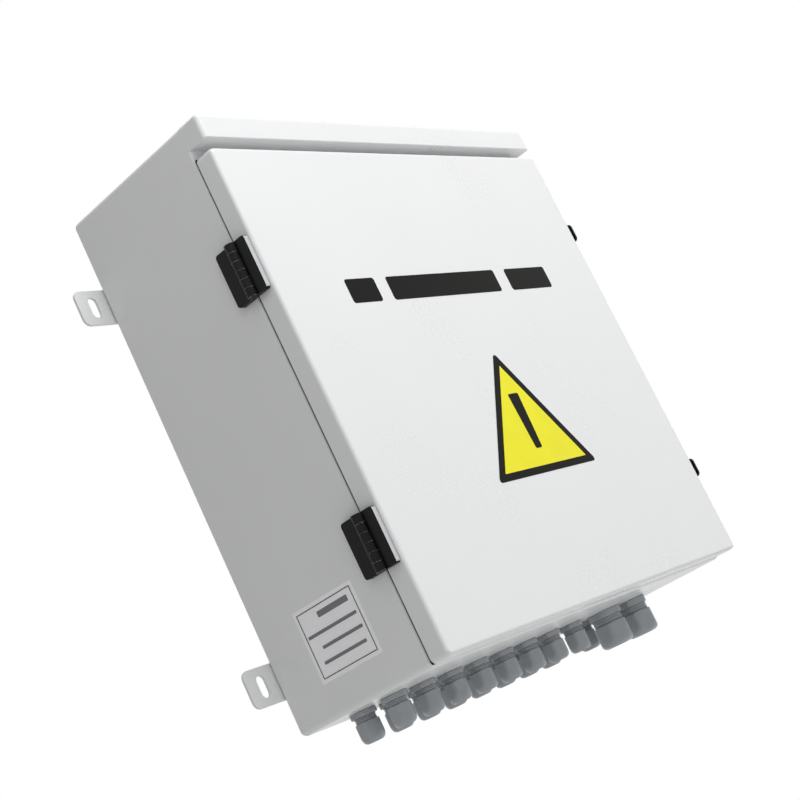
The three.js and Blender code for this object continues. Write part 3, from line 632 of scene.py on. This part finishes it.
def make_gland(name, size):
    low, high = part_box(name)
    x, y = (low.x + high.x) / 2, (low.y + high.y) / 2
    shape = bmesh.new()
    bmesh.ops.create_circle(shape, segments=AROUND, radius=1)
    first = edges = shape.edges[:]
    placed = [(vert, atan2(vert.co.y, vert.co.x)) for vert in shape.verts]
    for number, (z, radius, across, finish) in enumerate(gland_rings(size, low.z, high.z)):
        if number:
            extruded = bmesh.ops.extrude_edge_only(shape, edges=edges)
            verts = extruded_verts(extruded)
            new_edges = [g for g in extruded["geom"] if isinstance(g, bmesh.types.BMEdge)]
            edges = [e for e in new_edges if all(v in verts for v in e.verts)]
            placed = [(vert, atan2(vert.co.y - y, vert.co.x - x)) for vert in verts]
            for face in {f for v in verts for f in v.link_faces}:
                face.material_index = finish
        for vert, angle in placed:
            out = radius if across is None else min(radius, hex_radius(angle, across))
            vert.co = Vector((x + cos(angle) * out, y + sin(angle) * out, z))
    for face in bmesh.ops.bridge_loops(shape, edges=edges + first)["faces"]:
        face.material_index = SLEEVE
    bmesh.ops.recalc_face_normals(shape, faces=shape.faces)
    show_piece(name + "_piece", shape, "enclosure", [nylon, sleeve], [name], sharp=38)


small_size = {
    "bore": 0.0050, "thread": 0.0080, "neck": 0.0096, "neck_h": 0.0047,
    "cap": 0.0112, "tip": 0.0078, "cap_h": 0.0180, "shoulder": 0.0095, "flat": 0.0205,
    "flange": 0.0124, "flange_flat": 0.0228, "nut": 0.0120, "nut_flat": 0.0220,
}
large_size = {
    "bore": 0.0085, "thread": 0.0125, "neck": 0.0150, "neck_h": 0.0070,
    "cap": 0.0180, "tip": 0.0132, "cap_h": 0.0225, "shoulder": 0.0138, "flat": 0.0330,
    "flange": 0.0180, "flange_flat": 0.0335, "nut": 0.0175, "nut_flat": 0.0320,
}
for number in range(1, 9):
    make_gland(f"gland_positive_{number}", small_size)
    make_gland(f"gland_negative_{number}", small_size)
make_gland("gland_earth", small_size)
make_gland("gland_output_positive", large_size)
make_gland("gland_output_negative", large_size)


# ---- Mounting plate and rails ----
# A plated steel plate held by four nuts on studs, with two 35 mm top-hat rails screwed across it. The
# plate is sheared and the rails are rolled, so both show a fine grain.
for node in ("mounting_plate", "din_rail_lower", "din_rail_upper"):
    plate_shape = merged_copy(node)
    round_edges(plate_shape, 0.0002, 1)
    show_piece(node + "_piece", plate_shape, "enclosure", plated, [node])


def standing_disc(radius, height, corners=20, rounding=0.25):
    """A disc or a nut that stands on z = 0, with its upper rim a little rounded."""
    disc = bmesh.new()
    bmesh.ops.create_circle(disc, cap_ends=True, segments=corners, radius=radius)
    push_faces(disc, disc.faces[:], (0, 0, height))
    bmesh.ops.recalc_face_normals(disc, faces=disc.faces)
    rim = [e for e in disc.edges if all(v.co.z > height / 2 for v in e.verts)]
    bmesh.ops.bevel(
        disc, geom=rim, offset=height * rounding, offset_type="OFFSET", segments=2, profile=0.5,
        affect="EDGES", clamp_overlap=True, material=-1,
    )
    return disc


def upward_faces(shape):
    return [f for f in shape.faces if f.normal.z > 0.99]


def sink_faces(shape, depth, where):
    """Presses the upward faces that where picks down by depth."""
    chosen = [f for f in upward_faces(shape) if where(f.calc_center_median())]
    push_faces(shape, chosen, (0, 0, -depth))
    bmesh.ops.delete(shape, geom=chosen, context="FACES_ONLY")


def slotted_head(radius, height):
    """A screw head that stands on z = 0, with a straight slot across it."""
    head = standing_disc(radius, height)
    half_slot = radius * 0.14
    for side in (-1, 1):
        cap = upward_faces(head)
        parts = cap + list({e for f in cap for e in f.edges}) + list({v for f in cap for v in f.verts})
        slot_side = (0, side * half_slot, 0)
        bmesh.ops.bisect_plane(head, geom=parts, dist=1e-7, plane_co=slot_side, plane_no=(0, 1, 0))
    sink_faces(head, height * 0.55, lambda middle: abs(middle.y) < half_slot)
    return head


def socket_head(radius, height):
    """A bolt head that stands on z = 0, with a six-sided socket in it."""
    head = standing_disc(radius, height)
    bmesh.ops.inset_region(head, faces=upward_faces(head), thickness=radius * 0.38, use_even_offset=True)
    sink_faces(head, height * 0.6, lambda middle: middle.xy.length < radius * 0.2)
    return head


def fixing_set(name, head, places, body, material):
    """Copies of one head, each facing the door at x, y, z and turned about its own axis."""
    pattern = bpy.data.meshes.new(name + "_pattern")
    head.to_mesh(pattern)
    head.free()
    shape = bmesh.new()
    for x, y, z, turn in places:
        begin = len(shape.verts)
        shape.from_mesh(pattern)
        shape.verts.ensure_lookup_table()
        move = Matrix.Translation((x, y, z)) @ Matrix.Rotation(pi / 2, 4, "X") @ Matrix.Rotation(turn, 4, "Z")
        bmesh.ops.transform(shape, matrix=move, verts=shape.verts[begin:])
    bpy.data.meshes.remove(pattern)
    bmesh.ops.recalc_face_normals(shape, faces=shape.faces)
    show_piece(name, shape, body, material, sharp=35)


def plated_set(name, head, places):
    fixing_set(name, head, places, "enclosure", plated)


def raised_by(height, places):
    """The same places, nearer to the door by height."""
    return [(x, y - height, z, turn) for x, y, z, turn in places]


STUD_IN, WASHER = 0.015, 0.0014
plate_low, plate_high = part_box("mounting_plate")
studs = [
    (x, plate_low.y, z, 0.3 * (x + z) / STUD_IN)
    for x in (plate_low.x + STUD_IN, plate_high.x - STUD_IN)
    for z in (plate_low.z + STUD_IN, plate_high.z - STUD_IN)
]
plated_set("plate_washers", standing_disc(0.0080, WASHER, 28), studs)
plated_set("plate_nuts", standing_disc(0.0062, 0.0050, 6, 0.12), raised_by(WASHER, studs))

RAIL_SHEET = 0.0010
rail_screws = []
for rail, places in (("din_rail_lower", (-0.189, -0.004, 0.186)), ("din_rail_upper", (0.014, 0.150, 0.188))):
    rail_low, rail_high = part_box(rail)
    rail_middle = (rail_low.z + rail_high.z) / 2
    rail_screws += [(x, rail_high.y - RAIL_SHEET, rail_middle, 9.0 * x) for x in places]
plated_set("rail_screws", slotted_head(0.0042, 0.0026), rail_screws)


# ---- Moulded devices ----
# Fuse holders with their tilting carriers, the breaker with its toggle, the surge protector and the
# terminals. Each is moulded in slim modules with a fine matt skin, and clamps its wires with screws.
def moulding(name, colour, roughness=0.5):
    material, shader, place = new_finish(name, colour, roughness)
    cloud = place.noise(80)
    skin = place.noise(1800, 2.0)
    darker = tuple(c * 0.93 for c in colour) + (1,)
    lighter = tuple(min(1.0, c * 1.05) for c in colour) + (1,)
    set_socket(shader, "Base Color", cloud.blend(darker, lighter))
    set_socket(shader, "Roughness", roughness - 0.06 + cloud * 0.12)
    raise_surface(shader, skin, 0.00005, 0.5)
    return material


light_moulding = moulding("light_grey_moulding", (0.58, 0.60, 0.57))
dark_moulding = moulding("dark_grey_moulding", (0.028, 0.031, 0.035))
red_moulding = moulding("red_moulding", (0.42, 0.035, 0.024))
blue_moulding = moulding("blue_moulding", (0.035, 0.10, 0.30))
green_window = moulding("green_window", (0.03, 0.34, 0.08), 0.2)
clear_window = moulding("pale_window", (0.46, 0.50, 0.50), 0.15)


POLES, SURGE_POLES, MODULE_GAP = 8, 3, 0.00016


def show_modules(name, node, count, material):
    """Shows a device as equal modules side by side, each cut from the node and rounded at its edges."""
    low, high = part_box(node)
    width = (high.x - low.x) / count
    shape = bmesh.new()
    for index in range(count):
        module = joined_copy(node)
        for side, border in ((-1, low.x + index * width), (1, low.x + (index + 1) * width)):
            if low.x + 1e-5 < border < high.x - 1e-5:
                everything = module.verts[:] + module.edges[:] + module.faces[:]
                cut = bmesh.ops.bisect_plane(
                    module, geom=everything, dist=1e-7, plane_co=(border - side * MODULE_GAP / 2, 0, 0),
                    plane_no=(side, 0, 0), clear_outer=True,
                )
                rim = [g for g in cut["geom_cut"] if isinstance(g, bmesh.types.BMEdge)]
                bmesh.ops.holes_fill(module, edges=rim, sides=0)
        bmesh.ops.recalc_face_normals(module, faces=module.faces)
        make_faces_whole(module)
        round_edges(module, 0.0006, 2)
        many_sided = [f for f in module.faces if len(f.verts) > 4]
        bmesh.ops.triangulate(module, faces=many_sided, ngon_method="EAR_CLIP")
        passing = bpy.data.meshes.new("module")
        module.to_mesh(passing)
        module.free()
        shape.from_mesh(passing)
        bpy.data.meshes.remove(passing)
    show_piece(name, shape, "enclosure", material, [node])


show_modules("fuse_holders", "fuse_holder_bank", POLES, light_moulding)
show_modules("terminals", "terminal_block", POLES, blue_moulding)
show_modules("surge_modules", "surge_protector", SURGE_POLES, red_moulding)
devices = [
    ("dc_breaker", "enclosure", dark_moulding, "dark_moulding"),
    ("dc_breaker_toggle", "toggle", light_moulding, "grey_moulding"),
]
for number in range(1, POLES + 1):
    devices.append((f"fuse_carrier_{number}", f"carrier_{number}", light_moulding, "grey_moulding"))
for node, body, finish, slot in devices:
    device_shape = merged_copy(node)
    round_edges(device_shape, 0.0005, 2)
    show_piece(node + "_piece", device_shape, body, finish, [node])


def raised_panel(name, middle, size, front, finish, body="enclosure", corner=0.0006):
    """A small panel that faces the door, raised from front, with its middle at x and z."""
    (x, z), (width, height, thickness) = middle, size
    outline = [
        (x + side * width / 2, z + end * height / 2) for side, end in ((-1, -1), (1, -1), (1, 1), (-1, 1))
    ]
    show_piece(name, film(outline, corner, front - thickness, thickness, 2), body, finish)


COLLAR, CLAMP_SCREW = 0.0008, (0.0036, 0.0014)
RIB_DROP, RIB_PITCH, RIB_SIZE = 0.0022, 0.0024, (0.0105, 0.0011, 0.0005)
LENS_DROP, LENS_BACK, LENS_SIZE = 0.0210, 0.0040, (0.0052, 0.0034, 0.0006)
bank_low, bank_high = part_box("fuse_holder_bank")
fuse_screws = []
for number in range(1, POLES + 1):
    carrier_low, carrier_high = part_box(f"fuse_carrier_{number}")
    x, body = (carrier_low.x + carrier_high.x) / 2, f"carrier_{number}"
    fuse_screws.append((x, bank_low.y, bank_high.z - 0.0072, 1.1 * number))
    for rib in range(3):
        raised_panel(
            f"carrier_{number}_rib_{rib + 1}", (x, carrier_high.z - RIB_DROP - RIB_PITCH * rib), RIB_SIZE,
            carrier_low.y, light_moulding, body, 0.0003,
        )
    raised_panel(
        f"carrier_{number}_lens", (x, carrier_high.z - LENS_DROP), LENS_SIZE,
        carrier_low.y + LENS_BACK, clear_window, body,
    )
collar_disc = standing_disc(0.0052, COLLAR, 28)
fixing_set("fuse_screw_collars", collar_disc, fuse_screws, "enclosure", dark_moulding)
plated_set("fuse_clamp_screws", slotted_head(*CLAMP_SCREW), raised_by(COLLAR, fuse_screws))

TERMINAL_STEP, TERMINAL_SCREW_IN = 0.0120, 0.0072
MARKER_SIZE = (0.0100, 0.0060, 0.0005)
terminal_low, terminal_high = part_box("terminal_block")
terminal_pitch = (terminal_high.x - terminal_low.x) / POLES
terminal_middle = (terminal_low.z + terminal_high.z) / 2
terminal_screws = []
for number in range(POLES):
    x = terminal_low.x + (number + 0.5) * terminal_pitch
    for z in (terminal_low.z + TERMINAL_SCREW_IN, terminal_high.z - TERMINAL_SCREW_IN):
        terminal_screws.append((x, terminal_low.y + TERMINAL_STEP, z, 1.7 * number + 40 * z))
    raised_panel(
        f"terminal_marker_{number + 1}", (x, terminal_middle), MARKER_SIZE,
        terminal_low.y, light_moulding,
    )
plated_set("terminal_screws", slotted_head(0.0042, 0.0020), terminal_screws)

SURGE_NOSE, SURGE_SCREW_RISE = 0.014, 0.0335
WINDOW_RISE, GRIP_RISE = 0.0105, -0.0130
WINDOW_FRAME_SIZE, WINDOW_SIZE = (0.0100, 0.0085, 0.0005), (0.0072, 0.0056, 0.0004)
GRIP_SIZE = (0.0120, 0.0030, 0.0009)
surge_low, surge_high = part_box("surge_protector")
surge_middle = (surge_low.z + surge_high.z) / 2
surge_pitch = (surge_high.x - surge_low.x) / SURGE_POLES
surge_screws = []
for number in range(SURGE_POLES):
    x = surge_low.x + (number + 0.5) * surge_pitch
    for rise in (-SURGE_SCREW_RISE, SURGE_SCREW_RISE):
        surge_screws.append((x, surge_low.y + SURGE_NOSE, surge_middle + rise, 0.8 * number + 30 * rise))
    window = (x, surge_middle + WINDOW_RISE)
    raised_panel(
        f"surge_frame_{number + 1}", window, WINDOW_FRAME_SIZE, surge_low.y, dark_moulding,
    )
    raised_panel(
        f"surge_window_{number + 1}", window, WINDOW_SIZE, surge_low.y - WINDOW_FRAME_SIZE[2],
        green_window,
    )
    raised_panel(
        f"surge_grip_{number + 1}", (x, surge_middle + GRIP_RISE), GRIP_SIZE, surge_low.y,
        red_moulding,
    )
collar_disc = standing_disc(0.0050, COLLAR, 28)
fixing_set("surge_screw_collars", collar_disc, surge_screws, "enclosure", dark_moulding)
plated_set("surge_clamp_screws", slotted_head(*CLAMP_SCREW), raised_by(COLLAR, surge_screws))

BREAKER_NOSE, POCKET_DEPTH, CLAMP_IN, CLAMP_PLATE = 0.012, 0.022, 0.008, 0.0030
COVER_SCREW_ASIDE, COVER_SCREW_RISE = 0.046, 0.049
FACE_RISE, FACE_SIZE = 0.0285, (0.086, 0.0180, 0.0006)
BUTTON_ASIDE, BUTTON_DROP, BUTTON_SIZE = 0.036, 0.0270, (0.0070, 0.0070, 0.0016)
breaker_low, breaker_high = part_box("dc_breaker")
breaker_x, breaker_z = (breaker_low.x + breaker_high.x) / 2, (breaker_low.z + breaker_high.z) / 2
clamp_aside = (breaker_high.x - breaker_low.x) / 4
clamps = [
    (breaker_x + side * clamp_aside, breaker_low.y + BREAKER_NOSE + POCKET_DEPTH, z, 0.5 * side)
    for side in (-1, 1) for z in (breaker_low.z + CLAMP_IN, breaker_high.z - CLAMP_IN)
]
square_on = [(x, y, z, pi / 4) for x, y, z, _ in clamps]
plated_set("breaker_clamp_plates", standing_disc(0.0072, CLAMP_PLATE, 4, 0.1), square_on)
plated_set("breaker_clamp_bolts", socket_head(0.0046, 0.0060), raised_by(CLAMP_PLATE, clamps))
cover_screws = [
    (
        breaker_x + side * COVER_SCREW_ASIDE, breaker_low.y + BREAKER_NOSE,
        breaker_z + end * COVER_SCREW_RISE, 2.1 * side + end,
    )
    for side in (-1, 1) for end in (-1, 1)
]
plated_set("breaker_cover_screws", slotted_head(0.0027, 0.0010), cover_screws)
raised_panel(
    "breaker_face_plate", (breaker_x, breaker_z + FACE_RISE), FACE_SIZE, breaker_low.y,
    light_moulding, corner=0.0015,
)
raised_panel(
    "breaker_test_button", (breaker_x + BUTTON_ASIDE, breaker_z - BUTTON_DROP), BUTTON_SIZE, breaker_low.y,
    red_moulding, corner=0.0020,
)

END_STOP_SIZE, END_STOP_OFF = (0.0085, 0.0460, 0.0260), 0.0048
end_stops = []
for rail, held in (
    ("din_rail_lower", (bank_low.x, bank_high.x, terminal_low.x, terminal_high.x)),
    ("din_rail_upper", (surge_low.x, surge_high.x)),
):
    rail_low, rail_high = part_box(rail)
    stop_z = (rail_low.z + rail_high.z) / 2
    for number, end in enumerate(held):
        x = end + END_STOP_OFF if number % 2 else end - END_STOP_OFF
        end_stops.append((x, rail_low.y - END_STOP_SIZE[2], stop_z, 8.0 * x))
        raised_panel(
            f"end_stop_{len(end_stops)}", (x, stop_z), END_STOP_SIZE, rail_low.y,
            light_moulding, corner=0.0012,
        )
plated_set("end_stop_screws", slotted_head(0.0030, 0.0012), end_stops)


# ---- Copper and brass bars ----
# Flat copper bars gather the strings behind the fuse holders, and a brass bar takes the earth wires.
# They are sawn to length and have dulled a little.
def bare_bar(name, dark, light):
    material, shader, place = new_finish(name, light, 0.34, 1.0)
    cloud = place.noise(45)
    grain = place.node("Mapping", {}, {"Vector": place, "Scale": (30.0, 700.0, 700.0)})
    streak = grain.noise(1.0, 3.0)
    set_socket(shader, "Base Color", cloud.blend((*dark, 1), (*light, 1)))
    set_socket(shader, "Roughness", 0.26 + cloud * 0.16)
    raise_surface(shader, streak, 0.00004, 0.4)
    return material


copper = bare_bar("dulled_copper", (0.52, 0.22, 0.11), (0.72, 0.36, 0.21))
brass = bare_bar("dulled_brass", (0.46, 0.33, 0.11), (0.64, 0.48, 0.20))
for node, finish, slot in (
    ("positive_busbar", copper, "copper"),
    ("negative_busbar", copper, "copper"),
    ("earth_bar", brass, "brass"),
):
    bar_shape = merged_copy(node)
    round_edges(bar_shape, 0.0004, 2)
    show_piece(node + "_piece", bar_shape, "enclosure", finish, [node])

EARTH_SCREWS, EARTH_PITCH = 10, 0.0125
earth_low, earth_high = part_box("earth_bar")
earth_middle = (earth_low.z + earth_high.z) / 2
earth_screws = [
    ((number - (EARTH_SCREWS - 1) / 2) * EARTH_PITCH, earth_low.y, earth_middle, 1.3 * number)
    for number in range(EARTH_SCREWS)
]
plated_set("earth_screws", slotted_head(0.0036, 0.0024), earth_screws)
BUSBAR, BUSBAR_WASHER = 0.0030, 0.0012
riser_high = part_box("positive_busbar")[1]
riser_bolts = [(breaker_x, riser_high.y - BUSBAR, riser_high.z - drop, 0.4) for drop in (0.0095, 0.0270)]
plated_set("busbar_washers", standing_disc(0.0072, BUSBAR_WASHER, 28), riser_bolts)
plated_set("busbar_bolts", standing_disc(0.0056, 0.0040, 6, 0.12), raised_by(BUSBAR_WASHER, riser_bolts))
